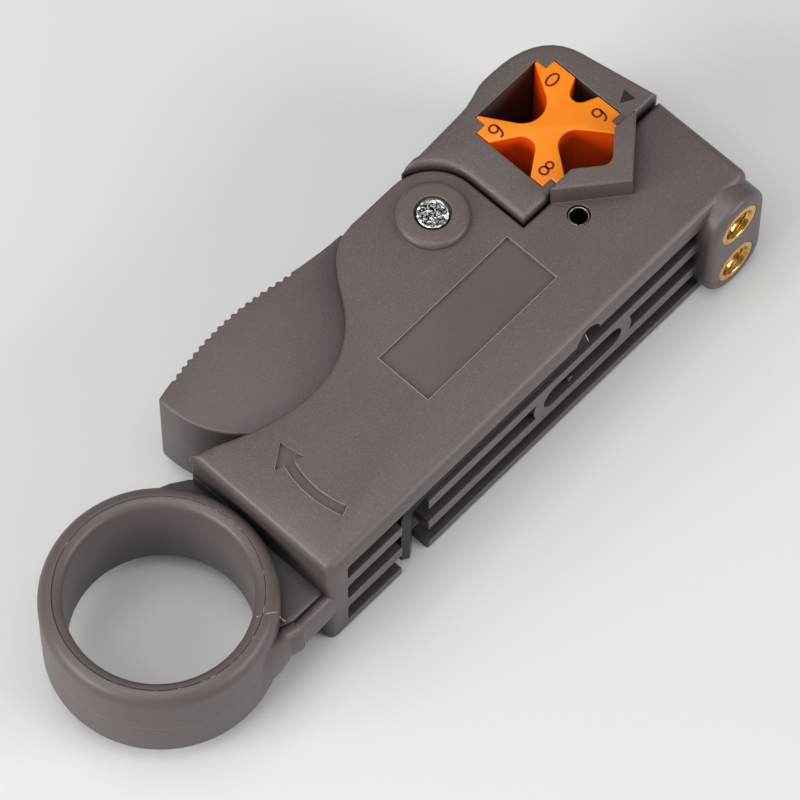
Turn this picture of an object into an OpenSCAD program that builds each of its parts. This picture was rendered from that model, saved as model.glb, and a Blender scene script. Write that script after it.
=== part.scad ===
// Coaxial cable stripper with a squeeze lever, an indexing V block and a finger ring.
// +X points to the head, +Y to the thumb lever, +Z up. The origin is the middle of the
// body block on its base. All sizes are in millimetres.

/* [Body] */
// Length of the body block along X
body_l = 79.8; // [72:0.1:100]
// Width of the body block at the ring end
body_w = 24.8; // [23:0.1:32]
// Full thickness of the body
body_t = 21; // [20:0.1:28]
// Thickness of the top and bottom plates that carry the pins
plate_t = 2.2; // [1.6:0.1:3]
// Radius of the rounded outer edges of the body
edge_r = 1.5; // [0.5:0.1:1.8]
// Radius of the soft edge along the curved side of the plates
soft_r = 0.45; // [0.2:0.05:0.8]
// Thickness of the wall behind the ribs
side_wall = 2; // [1.2:0.1:3]
// Thickness of the end wall at the ring
end_wall = 2.2; // [1.5:0.1:4]
// Depth of the label recess in the top
label_d = 0.4; // [0.2:0.1:0.8]
// Distance from the ring end of the body to the label recess
label_x = 26.45; // [24:0.05:28]
// Length of the label recess
label_l = 24.5; // [10:0.5:26]
// Width of the label recess
label_w = 8.8; // [5:0.1:10]

/* [Ribs] */
// Depth of the pockets between the ribs
pocket_d = 3; // [2.6:0.1:3.4]
// Height of the lip above the upper pocket
rim_h = 3.3; // [2.6:0.1:4]
// Thickness of each rib
rib_t = 2.15; // [1.5:0.05:2.6]
// Height of the uppermost pocket, where the key lies
pocket_h = 3.45; // [3:0.05:3.8]
// Distance from the top of the first rib to the top of the second
rib_pitch = 6.05; // [5.4:0.05:6.4]
// Width of the solid post at the ring end of the ribs
post_w = 3.2; // [2:0.1:5]
// Place of the ring side of the notch for the key
notch_x = -26.6; // [-30:0.1:-24]
// Width of the notch for the key
notch_w = 5.1; // [4.5:0.1:8]
// Radius of the slot in the side wall
slot_r = 2.2; // [1.5:0.1:3]
// Distance between the centres of the slot ends
slot_l = 10.6; // [6:0.1:14]
// Wall of the raised frame around the slot
slot_rim = 1.9; // [1:0.1:2.4]

/* [Pivot] */
// Radius of the pivot pin
pin_r = 2.31; // [1.5:0.01:2.8]
// Place of the pivot pin along X
pivot_x = 6.45; // [4:0.05:9]
// Place of the pivot pin along Y
pivot_y = 13.15; // [12:0.05:14]
// Radius of the round ear of the body around the pin
ear_r = 7.1; // [6.5:0.05:7.6]
// Radius of the raised boss around the pin
boss_r = 5; // [4:0.1:6]
// Height of the raised boss
boss_h = 1.2; // [0.6:0.1:1.6]
// Clearance of the pin in its holes
pin_gap = 0.05; // [0.02:0.01:0.09]

/* [Ring] */
// Inside diameter of the finger ring
ring_id = 24.4; // [20:0.1:30]
// Wall of the finger ring
ring_wall = 3.25; // [2.5:0.05:5]
// Height of the finger ring
ring_h = 15.8; // [10:0.1:18]
// Distance from the body to the centre of the ring
ring_reach = 16; // [14:0.1:24]
// Offset of the ring centre along Y
ring_y = 2.4; // [-2:0.1:4]
// Thickness of the neck web
neck_t = 2.8; // [2:0.1:6]

/* [Lever] */
// Gap between the lever and the plates of the body
lever_gap = 0.3; // [0.2:0.05:0.6]
// Gap of the split lines between the head and the body
split_gap = 0.4; // [0.3:0.05:0.6]
// Height of the head above the body
head_rise = 1; // [0.5:0.1:2]
// Pitch of the grip grooves
groove_pitch = 1.25; // [1.1:0.05:1.25]
// Number of grip grooves
groove_count = 21; // [8:1:21]
// Radius of each grip groove
groove_r = 0.42; // [0.2:0.02:0.8]

/* [Jaw and block] */
// Place of the cable axis along X
cable_x = 26.7; // [25:0.1:28]
// Side of the square V block
block_w = 15; // [13:0.1:15.6]
// Side of the square cut from each corner of the block
corner_cut = 1.7; // [1:0.1:2.4]
// Clearance of the block in its window
block_gap = 0.15; // [0.1:0.05:0.3]
// Thickness of the ledge under the block
ledge_t = 1.5; // [1:0.1:3]
// Rise of the block above the head
block_rise = 0.1; // [0:0.05:1]
// Rise of the chevron of the fixed jaw above the body
chevron_h = 3.8; // [2:0.1:5]
// Half width of the chevron
chevron_w = 8.05; // [7:0.05:9]
// Slope of the sides of the jaw notch
notch_deg = 40; // [34:1:44]
// Radius at the bottom of the jaw notch
notch_r = 1.7; // [1:0.1:2]
// Wall behind the jaw notch
notch_wall = 1.2; // [0.9:0.1:1.6]

/* [Blades] */
// Radius of the hollow spring pin
roll_r = 1.55; // [1.3:0.01:1.8]
// Wall of the hollow spring pin
roll_wall = 0.45; // [0.3:0.05:0.7]
// Place of the spring pin along X
roll_x = 19.75; // [19:0.05:20.5]
// Place of the spring pin along Y
roll_y = -0.47; // [-1:0.01:0]
// Distance between the two blades
blade_space = 6.4; // [6:0.1:7]
// Thickness of a blade
blade_t = 0.5; // [0.4:0.05:0.6]
// Width of a blade
blade_w = 4.6; // [4:0.1:5]
// How far the shallow blade stands into the jaw notch
blade_out = 1.2; // [0.6:0.1:1.6]

/* [Screws] */
// Radius of the set screws
screw_r = 2; // [1.5:0.05:2.2]
// Length of the set screws
screw_l = 7; // [6:0.1:7.5]
// Outer radius of the brass inserts
insert_r = 3.38; // [3:0.02:3.8]
// Length of the brass inserts
insert_l = 5.6; // [4:0.1:5.6]
// Distance between the two screw axes
screw_space = 10; // [9.4:0.1:10.4]
// Place of the screw axes along X
screw_x = 35.3; // [34:0.1:35.4]
// Radius of the pad around the inserts
pad_r = 5.2; // [4.6:0.1:5.3]
// Rise of the pad above the side of the body
pad_h = 2.6; // [1.6:0.1:4]
// Depth of the lower screw below the face of the pad
screw_in = 1; // [0.5:0.1:1.2]
// How much deeper the upper screw is set
screw_step = 1.5; // [0.5:0.1:1.5]

/* [Key and spring] */
// Width of the hex key across its flats
key_af = 2; // [1.5:0.1:2.2]
// Length of the long leg of the key
key_long = 34; // [25:0.5:36]
// Length of the short leg of the key
key_short = 13.6; // [8:0.2:14]
// Bend radius of the key
key_bend = 2.6; // [2:0.1:3]
// Wire diameter of the lever spring
wire_d = 1; // [0.8:0.05:1.1]
// Mean radius of the lever spring
coil_r = 3.4; // [3.3:0.05:3.6]
// Pitch of the turns of the lever spring
coil_pitch = 1.15; // [1.12:0.01:1.2]

/* [Hidden] */
$fn = 64;

eps = 0.01;
// How far a cutter runs past a face
over = 0.6;

x_ring = -body_l / 2;
x_head = body_l / 2;
y_side = -body_w / 2;
y_end = body_w / 2;
z_top = body_t;

// The inner face of the side wall and the space between the plates
y_in = y_side + pocket_d + side_wall;
z_lo = plate_t;
z_hi = body_t - plate_t;

// The split line between the jaw and the head
y_jaw = y_end - 8.8;
y_head = y_jaw + split_gap;
head_in_r = ear_r + split_gap;
head_top = body_t + head_rise;

// The V block stands on the ledges of the window
block_y = y_head + block_w / 2 - 0.2;
block_z0 = ledge_t + 0.05;
block_z1 = head_top + block_rise;
window_w = block_w + 2 * block_gap;

// Heights of the three ribs, the lowest one lies at the base
rib_top = [
    z_top - rim_h - pocket_h,
    z_top - rim_h - pocket_h - rib_pitch,
    rib_t
];
rib_end_x = screw_x - pad_r + 1.2;
slot_x = pivot_x + 1.45;
slot_z = (rib_top[0] + rib_top[1] - rib_t) / 2;

// Heights of the screws and the blades
screw_mid = body_t / 2 + 0.1;
z_screw = [screw_mid + screw_space / 2, screw_mid - screw_space / 2];
z_blade = [screw_mid + blade_space / 2, screw_mid - blade_space / 2];
y_pad = y_side - pad_h;
arm_back = y_pad + screw_in + screw_l + 0.1;
arm_reach = screw_x - roll_x;
upper_deg = asin(screw_step / arm_reach);

// Finger ring
ring_ri = ring_id / 2;
ring_ro = ring_ri + ring_wall;
ring_x = x_ring - ring_reach;
ring_mid = body_t / 2 + 0.3;
ring_z0 = ring_mid - ring_h / 2;

// Lever spring
coil_z0 = slot_z - slot_r + wire_d / 2 + 0.45;
foot_x = pivot_x - 0.35;
foot_y = y_side + 0.5;

// Hex key
key_z = rib_top[0] + key_af / 2 + 0.05;
key_y = y_side + 1.55;
key_x = notch_x + 1.9;

// Geometry helpers
function unit(v) = v / norm(v);
function right_of(v) = [v[1], -v[0]];
function mix(a, b, t) = a + (b - a) * t;
function bezier(p, t) =
    let (u = 1 - t)
    p[0] * u * u * u + p[1] * 3 * t * u * u + p[2] * 3 * t * t * u + p[3] * t * t * t;
function curve(p, n) = [for (i = [0 : n]) bezier(p, i / n)];
function arc(c, r, a0, a1, n) =
    [for (i = [0 : n]) let (a = a0 + (a1 - a0) * i / n) c + r * [cos(a), sin(a)]];
// The outward direction at a corner of an outline that runs anticlockwise
function miter(p, i) =
    let (
        n = len(p),
        a = right_of(unit(p[i] - p[(i + n - 1) % n])),
        b = right_of(unit(p[(i + 1) % n] - p[i]))
    )
    (a + b) / (1 + a * b);

// Takes the sharp edge off an outline at one height, with a radius for each point
module edge_cut(p, r, z, up) {
    steps = 4;
    n = len(p);
    m = steps + 4;
    pts = [
        for (i = [0 : n - 1])
            let (d = miter(p, i), q = r[i])
            each concat(
                [concat(p[i] + d * over, z + up * over), concat(p[i] + d * over, z - up * q)],
                [
                    for (k = [0 : steps])
                        let (a = 90 * k / steps)
                        concat(p[i] - d * q * (1 - cos(a)), z - up * q * (1 - sin(a)))
                ],
                [concat(p[i] - d * q, z + up * over)]
            )
    ];
    faces = [
        for (i = [0 : n - 1])
            for (k = [0 : m - 1])
                let (
                    j = (i + 1) % n,
                    l = (k + 1) % m,
                    a = i * m + k,
                    b = j * m + k,
                    c = j * m + l,
                    e = i * m + l
                )
                each up > 0 ? [[a, b, c], [a, c, e]] : [[a, c, b], [a, e, c]]
    ];
    polyhedron(points = pts, faces = faces, convexity = 10);
}

// A prism with its upper and lower edges rounded
module soft_prism(p, z0, z1, r0, r1) {
    difference() {
        translate([0, 0, z0])
            linear_extrude(z1 - z0)
                polygon(p);
        edge_cut(p, [for (q = p) r1], z1, 1);
        edge_cut(p, [for (q = p) r0], z0, -1);
    }
}

module rod(a, b, r, sides = 64) {
    d = b - a;
    translate(a)
        rotate([0, acos(d[2] / norm(d)), atan2(d[1], d[0])])
            cylinder(r = r, h = norm(d), $fn = sides);
}

// Outlines of the body
swoop_high = [
    [pivot_x - 8, pivot_y + ear_r],
    [pivot_x - 13, pivot_y + ear_r - 0.3],
    [pivot_x - 15, pivot_y + 2.6],
    [pivot_x - 17, pivot_y - 0.1]
];
swoop_low = [
    [pivot_x - 17, pivot_y - 0.1],
    [pivot_x - 23, pivot_y - 8.2],
    [(pivot_x - 17 + x_ring) / 2 - 1.5, y_end - 7.4],
    [x_ring, y_end]
];
corner_r = 1.2;
outline_edge = concat(
    arc([x_ring + corner_r, y_side + corner_r], corner_r, 180, 270, 4),
    arc([x_head - corner_r, y_side + corner_r], corner_r, -90, 0, 4)
);
outline_split = concat(
    [[x_head, y_jaw], [pivot_x + ear_r, y_jaw]],
    arc([pivot_x, pivot_y], ear_r, 0, 90, 14)
);
outline_swoop = concat(
    curve(swoop_high, 9),
    [for (i = [1 : 13]) bezier(swoop_low, i / 13)]
);
body_outline = concat(outline_edge, outline_split, outline_swoop);
body_radii = concat(
    [for (p = outline_edge) edge_r],
    [edge_r],
    [for (i = [1 : len(outline_split) - 1]) soft_r],
    [for (i = [1 : len(outline_swoop) - 1]) soft_r],
    [edge_r]
);

// The fixed jaw
function notch_line(y) = (y - jaw_apex) / tan(notch_deg);
jaw_apex = 0;
chevron_outer = jaw_apex - 3.5;
chevron = [
    [cable_x - chevron_w, y_jaw - 0.3],
    [cable_x - chevron_w + 0.3, y_jaw - 0.7],
    [cable_x, chevron_outer],
    [cable_x + chevron_w - 0.3, y_jaw - 0.7],
    [cable_x + chevron_w, y_jaw - 0.3],
    [cable_x + chevron_w, y_jaw],
    [cable_x - chevron_w, y_jaw]
];
apex_y = jaw_apex + notch_r / cos(notch_deg);
jaw_notch = concat(
    [[cable_x + notch_line(y_jaw + 2), y_jaw + 2], [cable_x - notch_line(y_jaw + 2), y_jaw + 2]],
    arc([cable_x, apex_y], notch_r, 180 + 90 - notch_deg, 270 + notch_deg, 6)
);
back_apex = jaw_apex - notch_wall / cos(notch_deg);
bay_front = y_jaw - 1.4;
bay_half = (bay_front - back_apex) / tan(notch_deg);
blade_bay = [
    [roll_x - 4.85, y_in],
    [x_head - 1.7, y_in],
    [x_head - 1.7, bay_front],
    [cable_x + bay_half, bay_front],
    [cable_x, back_apex],
    [cable_x - bay_half, bay_front],
    [roll_x - 4.85, bay_front]
];
lever_bay = [
    [x_ring + end_wall, y_in],
    [pivot_x + 6.45, y_in],
    [pivot_x + 6.45, y_jaw + 0.9],
    [x_head, y_jaw + 0.9],
    [x_head, y_end + 20],
    [x_ring - 5, y_end + 20],
    [x_ring - 5, y_end - 0.4],
    [x_ring + end_wall, y_end - 0.4]
];

// One pocket between two ribs, round at both ends of its opening
module pocket(x0, x1, z0, z1) {
    r = 0.5;
    translate([0, y_side + pocket_d, 0])
        rotate([90, 0, 0])
            linear_extrude(pocket_d + over)
                polygon(concat(
                    arc([x1 - r, z1 - r], r, 0, 90, 3),
                    arc([x0 + r, z1 - r], r, 90, 180, 3),
                    arc([x0 + r, z0 + r], r, 180, 270, 3),
                    arc([x1 - r, z0 + r], r, 270, 360, 3)
                ));
}

module rib_pockets() {
    floors = [rib_top[0], rib_top[1], rib_top[2]];
    roofs = [z_top - rim_h, rib_top[0] - rib_t, rib_top[1] - rib_t];
    for (k = [0 : 2]) {
        pocket(x_ring + post_w, notch_x + 2, floors[k], roofs[k]);
        pocket(notch_x + notch_w - 2, rib_end_x, floors[k], roofs[k]);
    }
    // The notch runs down to the base and its ribs end in round corners
    translate([0, y_side + pocket_d, 0])
        rotate([90, 0, 0])
            linear_extrude(pocket_d + over)
                polygon([
                    [notch_x, -over],
                    [notch_x + notch_w, -over],
                    [notch_x + notch_w, z_top - rim_h],
                    [notch_x, z_top - rim_h]
                ]);
}

module stadium(r, l) {
    polygon(concat(arc([l / 2, 0], r, -90, 90, 16), arc([-l / 2, 0], r, 90, 270, 16)));
}

module slot_frame() {
    translate([slot_x, y_side + pocket_d + eps, slot_z])
        rotate([90, 0, 0])
            linear_extrude(pocket_d + eps)
                stadium(slot_r + slot_rim, slot_l);
}

module slot_hole() {
    translate([slot_x, y_side + pocket_d, slot_z])
        rotate([90, 0, 0])
            linear_extrude(pocket_d + over)
                stadium(slot_r, slot_l);
}

// The finger dent in the lip over the free end of the key
module key_dent() {
    translate([key_x + key_long - 0.6, y_side - 1, z_top - rim_h])
        rotate([-90, 0, 0])
            cylinder(r = 2.2, h = 2.6, $fn = 32);
}

module screw_pad() {
    p = concat(
        arc([screw_space / 2, 0], pad_r, -90, 90, 16),
        arc([-screw_space / 2, 0], pad_r, 90, 270, 16)
    );
    translate([screw_x, y_side + 3, screw_mid])
        rotate([90, 0, 0])
            rotate([0, 0, 90])
                difference() {
                    linear_extrude(pad_h + 3)
                        polygon(p);
                    edge_cut(p, [for (q = p) 1], pad_h + 3, 1);
                }
}

ring_profile = concat(
    arc([ring_ro - 1.9, ring_h / 2 - 1.9], 1.9, 0, 90, 6),
    [[ring_ri + 1.38, ring_h / 2], [ring_ri + 1.38, ring_h / 2 - 0.12]],
    arc([ring_ri + 1.25, ring_h / 2 - 1.37], 1.25, 90, 180, 5),
    arc([ring_ri + 1.25, 1.37 - ring_h / 2], 1.25, 180, 270, 5),
    [[ring_ri + 1.38, 0.12 - ring_h / 2], [ring_ri + 1.38, -ring_h / 2]],
    arc([ring_ro - 1.9, 1.9 - ring_h / 2], 1.9, 270, 360, 6)
);

module finger_ring() {
    translate([ring_x, ring_y, ring_mid])
        rotate_extrude($fn = 96)
            polygon(ring_profile);
}

neck_mid = ring_mid - 0.8;
neck_shape = [
    [x_ring + 1, y_end - 0.7],
    [x_ring + 1, y_side + 0.4],
    [x_ring - 8, y_side + 2],
    [ring_x + 2, ring_y - ring_ri - 1],
    [ring_x + 2, ring_y + ring_ri + 1],
    [x_ring - 5, y_end + 0.6]
];

module neck() {
    bead = neck_t / 2 + 0.5;
    difference() {
        union() {
            translate([0, 0, neck_mid - neck_t / 2])
                linear_extrude(neck_t)
                    polygon([for (i = [5 : -1 : 0]) neck_shape[i]]);
            // Round beads along both edges of the web
            rod(
                [x_ring + 0.8, y_side + bead - 0.1, neck_mid],
                [x_ring - 8.8, y_side + bead + 1.9, neck_mid],
                bead
            );
            rod(
                [x_ring + 0.8, y_end - bead - 0.2, neck_mid],
                [x_ring - 6.2, y_end - bead + 0.6, neck_mid],
                bead
            );
        }
        translate([ring_x, ring_y, 0])
            cylinder(r = ring_ri + 0.8, h = body_t);
    }
}

// A curved arrow pressed into the top: which way the tool is turned
module arrow_recess() {
    r = 15.2;
    half = 0.75;
    barb = 2.1;
    c = [x_ring + 22.1, -2.8];
    tip = c + r * [cos(149), sin(149)];
    base = c + r * [cos(161), sin(161)];
    out = unit(base - c);
    translate([0, 0, z_top - 0.35])
        linear_extrude(1)
            polygon(concat(
                arc(c, r + half, 161, 199, 8),
                arc(c, r - half, 199, 161, 8),
                [base - out * barb, tip, base + out * barb]
            ));
}

module body_frame() {
    color("#6b655f") {
        difference() {
            union() {
                difference() {
                    linear_extrude(body_t)
                        polygon(body_outline);
                    edge_cut(body_outline, body_radii, z_top, 1);
                    edge_cut(body_outline, [for (r = body_radii) min(r, 0.8)], 0, -1);
                    translate([0, 0, z_lo])
                        linear_extrude(z_hi - z_lo)
                            polygon(lever_bay);
                    translate([0, 0, z_lo])
                        linear_extrude(z_hi - z_lo)
                            polygon(blade_bay);
                    rib_pockets();
                    translate([x_ring + label_x, -0.23 - label_w / 2, z_top - label_d])
                        cube([label_l, label_w, 2]);
                    arrow_recess();
                    key_dent();
                }
                soft_prism(chevron, z_top - 1, z_top + chevron_h, 0.1, 0.35);
                translate([pivot_x, pivot_y, z_top - eps])
                    rotate_extrude()
                        polygon(concat(
                            [[0, 0], [boss_r, 0]],
                            arc([boss_r - 0.8, boss_h - 0.8], 0.8, 0, 90, 5),
                            [[0, boss_h]]
                        ));
                slot_frame();
                screw_pad();
                neck();
            }
            translate([0, 0, -over])
                linear_extrude(z_top + chevron_h + 2 * over)
                    polygon(jaw_notch);
            slot_hole();
            // Holes for the two pins
            translate([pivot_x, pivot_y, -over])
                cylinder(r = pin_r + pin_gap, h = body_t + 4);
            translate([pivot_x, pivot_y, z_top + boss_h - 0.5])
                cylinder(r = pin_r + 0.25, h = 1);
            translate([roll_x, roll_y, -over])
                cylinder(r = roll_r + pin_gap, h = body_t + 4);
            // Hole for the foot of the lever spring
            translate([foot_x, y_side + pocket_d - 1, coil_z0])
                rotate([-90, 0, 6.9])
                    cylinder(r = wire_d / 2 + 0.25, h = side_wall + 2, $fn = 32);
            for (z = z_screw) {
                translate([screw_x, y_pad - over, z])
                    rotate([-90, 0, 0])
                        cylinder(r = insert_r, h = insert_l + over);
                translate([screw_x, y_pad, z])
                    rotate([-90, 0, 0])
                        cylinder(r = screw_r + 0.3, h = y_in - y_pad + over);
            }
            // Slots for the blades in the wall of the notch
            for (z = z_blade)
                translate([cable_x - 3.2, back_apex - 1.2, z - 0.55])
                    cube([6.6, 5, 1.1]);
        }
        finger_ring();
    }
}

// Outlines of the lever
head_side = [
    [pivot_x + head_in_r, y_head],
    [x_head - 0.05, y_head]
];
head_outline = concat(
    head_side,
    curve([
        [x_head - 2.1, y_head + 11.5],
        [x_head - 2.9, y_head + 15.8],
        [x_head - 6.4, y_head + 18.2],
        [cable_x + 0.7, y_head + 18.15]
    ], 9),
    curve([
        [cable_x - 1.1, y_head + 18.15],
        [cable_x - 2.7, y_head + 18.1],
        [cable_x - 4.2, y_head + 17],
        [cable_x - 6.7, y_head + 16.95]
    ], 5),
    arc([pivot_x, pivot_y], head_in_r, 76, 0, 14)
);
grip_out = [
    [pivot_x - 9, pivot_y + 7.95],
    [pivot_x - 22, pivot_y + 7.9],
    [pivot_x - 24, pivot_y + 11.2],
    [x_ring + 4.2, pivot_y + 8.2]
];
grip_end = [
    [x_ring + 3.85, pivot_y + 7.7],
    [x_ring + 3.7, pivot_y + 3],
    [x_ring + 5, pivot_y - 1],
    [x_ring + 8.6, pivot_y - 4]
];
grip_outline = concat(
    curve(grip_out, 10),
    curve(grip_end, 6),
    [
        [x_ring + 14.9, 3.6],
        [pivot_x - 20.5, 5.2],
        [pivot_x - 8, pivot_y - 4.5],
        [pivot_x - 2, pivot_y - 6.2],
        [pivot_x + 1.5, pivot_y - 6.2],
        [pivot_x + head_in_r + 0.6, pivot_y - 5],
        [pivot_x + head_in_r + 0.6, pivot_y + 1],
        [pivot_x + 5.4, pivot_y + 4],
        [pivot_x + 4, pivot_y + 5.6],
        [pivot_x, pivot_y + 6.7],
        [pivot_x - 5, pivot_y + 6.9]
    ]
);

module v_window() {
    translate([cable_x, block_y, 0])
        difference() {
            translate([-window_w / 2, -window_w / 2 - 2, -over])
                cube([window_w, window_w + 2, head_top + 2 * over]);
            for (a = [0 : 90 : 270])
                rotate([0, 0, a])
                    translate([window_w / 2 - corner_cut, window_w / 2 - corner_cut, -2 * over])
                        cube([corner_cut + 3, corner_cut + 3, head_top + 4 * over]);
            // Ledges under the corners of the block
            for (a = [0 : 90 : 270])
                rotate([0, 0, a])
                    translate([
                        window_w / 2 - corner_cut - 1.6,
                        window_w / 2 - corner_cut - 1.6,
                        -2 * over
                    ])
                        cube([corner_cut + 4, corner_cut + 4, ledge_t + 2 * over]);
        }
}

module clamp_lever() {
    color("#6b655f")
        difference() {
            union() {
                difference() {
                    soft_prism(head_outline, 0, head_top, 0.6, 0.8);
                    v_window();
                }
                soft_prism(
                    grip_outline,
                    z_lo + lever_gap,
                    z_hi - lever_gap,
                    0.8,
                    0.8
                );
            }
            // Grooves for the thumb
            for (k = [0 : groove_count - 1]) {
                t = 0.19 + k * groove_pitch / norm(grip_out[3] - grip_out[0]);
                q = bezier(grip_out, t);
                translate([q[0], q[1] + 0.24, 0])
                    cylinder(r = groove_r, h = body_t, $fn = 16);
            }
            translate([pivot_x, pivot_y, -over])
                cylinder(r = pin_r + pin_gap, h = body_t + 4);
            // Space for the spring and the way out for its two legs
            translate([pivot_x, pivot_y, coil_z0 - 0.9])
                cylinder(r = coil_r + wire_d / 2 + 0.6, h = 5.8);
            translate([0, 0, coil_z0 - 0.9])
                linear_extrude(5.8)
                    polygon([
                        [pivot_x - 4.4, pivot_y],
                        [pivot_x - 6.4, pivot_y - 8],
                        [pivot_x + 2.6, pivot_y - 8],
                        [pivot_x + 2.6, pivot_y]
                    ]);
            translate([pivot_x - 15.5, pivot_y - 9, coil_z1 - wire_d / 2 - 0.3])
                cube([12, 9 - coil_r + wire_d / 2 + 0.05, wire_d + 0.6]);
        }
}

// Depth, bottom radius and side angle of the scallops, from the jaw side onwards
scallops = [
    [4.8, 2.3, 34],
    [2.7, 1.15, 18],
    [5.8, 3.4, 35],
    [4.05, 1.8, 32]
];

function scallop(s) =
    let (
        d = s[0],
        r = s[1],
        b = s[2],
        mouth = r * cos(b) + (d - r + r * sin(b) + 1) * tan(b)
    )
    concat([[mouth, -1], [-mouth, -1]], arc([0, d - r], r, 180 - b, b, 10));

module v_block() {
    color("#f26a12")
        translate([cable_x, block_y, block_z0])
            difference() {
                translate([-block_w / 2, -block_w / 2, 0])
                    cube([block_w, block_w, block_z1 - block_z0]);
                for (k = [0 : 3])
                    rotate([0, 0, 90 * k]) {
                        translate([
                            block_w / 2 - corner_cut - block_gap,
                            block_w / 2 - corner_cut - block_gap,
                            -over
                        ])
                            cube([corner_cut + 1, corner_cut + 1, body_t + 4]);
                        translate([0, -block_w / 2, -over])
                            linear_extrude(body_t + 4)
                                polygon([for (i = [12 : -1 : 0]) scallop(scallops[k])[i]]);
                    }
            }
}

module pivot_pin() {
    color("#b9b6b0")
        translate([pivot_x, pivot_y, 0.3])
            rotate_extrude()
                polygon([
                    [0, 0],
                    [pin_r - 0.3, 0],
                    [pin_r, 0.3],
                    [pin_r, z_top + boss_h - 0.9],
                    [pin_r - 0.35, z_top + boss_h - 0.55],
                    [0, z_top + boss_h - 0.5]
                ]);
}

// A rolled tube with a slit along its length
module roll_pin() {
    color("#b9b6b0")
        translate([roll_x, roll_y, 0.3])
            difference() {
                cylinder(r = roll_r, h = body_t - 0.6);
                translate([0, 0, -over])
                    cylinder(r = roll_r - roll_wall, h = body_t + 2);
                translate([0, -0.2, -over])
                    cube([4, 0.4, body_t + 2]);
            }
}

// The wire of the lever spring: foot in the side wall, turns round the pin, leg on the grip
leg_lean = asin(coil_r / norm([pivot_x - foot_x, pivot_y - foot_y]))
    - atan((pivot_x - foot_x) / (pivot_y - foot_y));
turn_start = 180 + leg_lean;
turn_total = 360 * 4 - 90 + leg_lean;
turn_steps = 84;
coil_z1 = coil_z0 + coil_pitch * turn_total / 360;
wire_path = concat(
    [[foot_x, foot_y, coil_z0]],
    [
        for (i = [0 : turn_steps])
            let (a = turn_start - turn_total * i / turn_steps)
            [
                pivot_x + coil_r * cos(a),
                pivot_y + coil_r * sin(a),
                mix(coil_z0, coil_z1, i / turn_steps)
            ]
    ],
    [[pivot_x - 15, pivot_y - coil_r, coil_z1]]
);

// A wire along a path, with flat ends; across is the way of its first corner
module wire(path, r, sides, across = undef) {
    n = len(path);
    tangents = [
        for (i = [0 : n - 1])
            unit(path[min(i + 1, n - 1)] - path[max(i - 1, 0)])
    ];
    pts = [
        for (i = [0 : n - 1])
            let (
                side = is_undef(across) ? unit(cross(tangents[i], [0, 0, 1])) : across,
                rise = cross(side, tangents[i])
            )
            for (k = [0 : sides - 1])
                let (a = 360 * k / sides)
                path[i] + r * (side * cos(a) + rise * sin(a))
    ];
    faces = concat(
        [[for (k = [0 : sides - 1]) k]],
        [
            for (i = [0 : n - 2])
                for (k = [0 : sides - 1])
                    let (
                        a = i * sides + k,
                        b = i * sides + (k + 1) % sides,
                        c = b + sides,
                        d = a + sides
                    )
                    each [[a, d, c], [a, c, b]]
        ],
        [[for (k = [sides - 1 : -1 : 0]) (n - 1) * sides + k]]
    );
    polyhedron(points = pts, faces = faces, convexity = 10);
}

module lever_spring() {
    color("#8f8d88")
        wire(wire_path, wire_d / 2, 8);
}

module brass_insert(k) {
    color("#c8963c")
        translate([screw_x, y_pad - 0.05, z_screw[k]])
            rotate([-90, 0, 0])
                difference() {
                    rotate_extrude()
                        polygon([
                            [0, 0],
                            [insert_r - 0.25, 0],
                            [insert_r - 0.02, 0.25],
                            [insert_r - 0.02, insert_l - 0.3],
                            [insert_r - 0.3, insert_l],
                            [0, insert_l]
                        ]);
                    translate([0, 0, -over])
                        cylinder(r = screw_r + pin_gap, h = insert_l + 2);
                    translate([0, 0, -over])
                        cylinder(r1 = screw_r + 0.4 + over, r2 = screw_r - 0.6 + over, h = 1);
                }
}
module brass_insert_upper() brass_insert(0);
module brass_insert_lower() brass_insert(1);

module set_screw(k) {
    depth = screw_in + (k == 0 ? screw_step : 0);
    color("#9a9894")
        translate([screw_x, y_pad + depth, z_screw[k]])
            rotate([-90, 0, 0])
                difference() {
                    rotate_extrude()
                        polygon([
                            [0, 0],
                            [screw_r - 0.25, 0],
                            [screw_r, 0.25],
                            [screw_r, screw_l - 1.5],
                            [0.3, screw_l],
                            [0, screw_l]
                        ]);
                    translate([0, 0, -over])
                        cylinder(r = (key_af + 0.08) / sqrt(3), h = 2.4 + over, $fn = 6);
                }
}
module set_screw_upper() set_screw(0);
module set_screw_lower() set_screw(1);

arm_end_x = x_head - 2.6;
arm_front = jaw_apex - 3.7;
arm_outline = [
    [roll_x - 2.3, roll_y - 1.9],
    [roll_x - 1.4, arm_back],
    [arm_end_x, arm_back],
    [arm_end_x, arm_front - 0.2],
    [roll_x + 4.3, arm_front],
    [roll_x + 2.7, roll_y + 1.2]
];

// Turns a piece of the upper set about the spring pin to its own rest angle
module seat(k) {
    translate([roll_x, roll_y, 0])
        rotate([0, 0, k == 0 ? upper_deg : 0])
            translate([-roll_x, -roll_y, 0])
                children();
}

module blade_arm(k) {
    z0 = k == 0 ? z_blade[0] + blade_t / 2 : z_lo + lever_gap;
    z1 = k == 0 ? z_hi - lever_gap : z_blade[1] - blade_t / 2;
    hub0 = k == 0 ? screw_mid + 0.15 : z0;
    hub1 = k == 0 ? z1 : screw_mid - 0.15;
    color("#3c3b3a")
        seat(k)
            difference() {
                union() {
                    translate([0, 0, z0])
                        linear_extrude(z1 - z0)
                            polygon(arm_outline);
                    translate([roll_x, roll_y, hub0])
                        cylinder(r = 2.5, h = hub1 - hub0);
                }
                translate([roll_x, roll_y, -over])
                    cylinder(r = roll_r + pin_gap, h = body_t + 4);
                translate([cable_x, arm_back + 1.7, z_blade[k] - 4])
                    cylinder(r = 0.85, h = 8, $fn = 32);
            }
}
module blade_arm_upper() blade_arm(0);
module blade_arm_lower() blade_arm(1);

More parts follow.
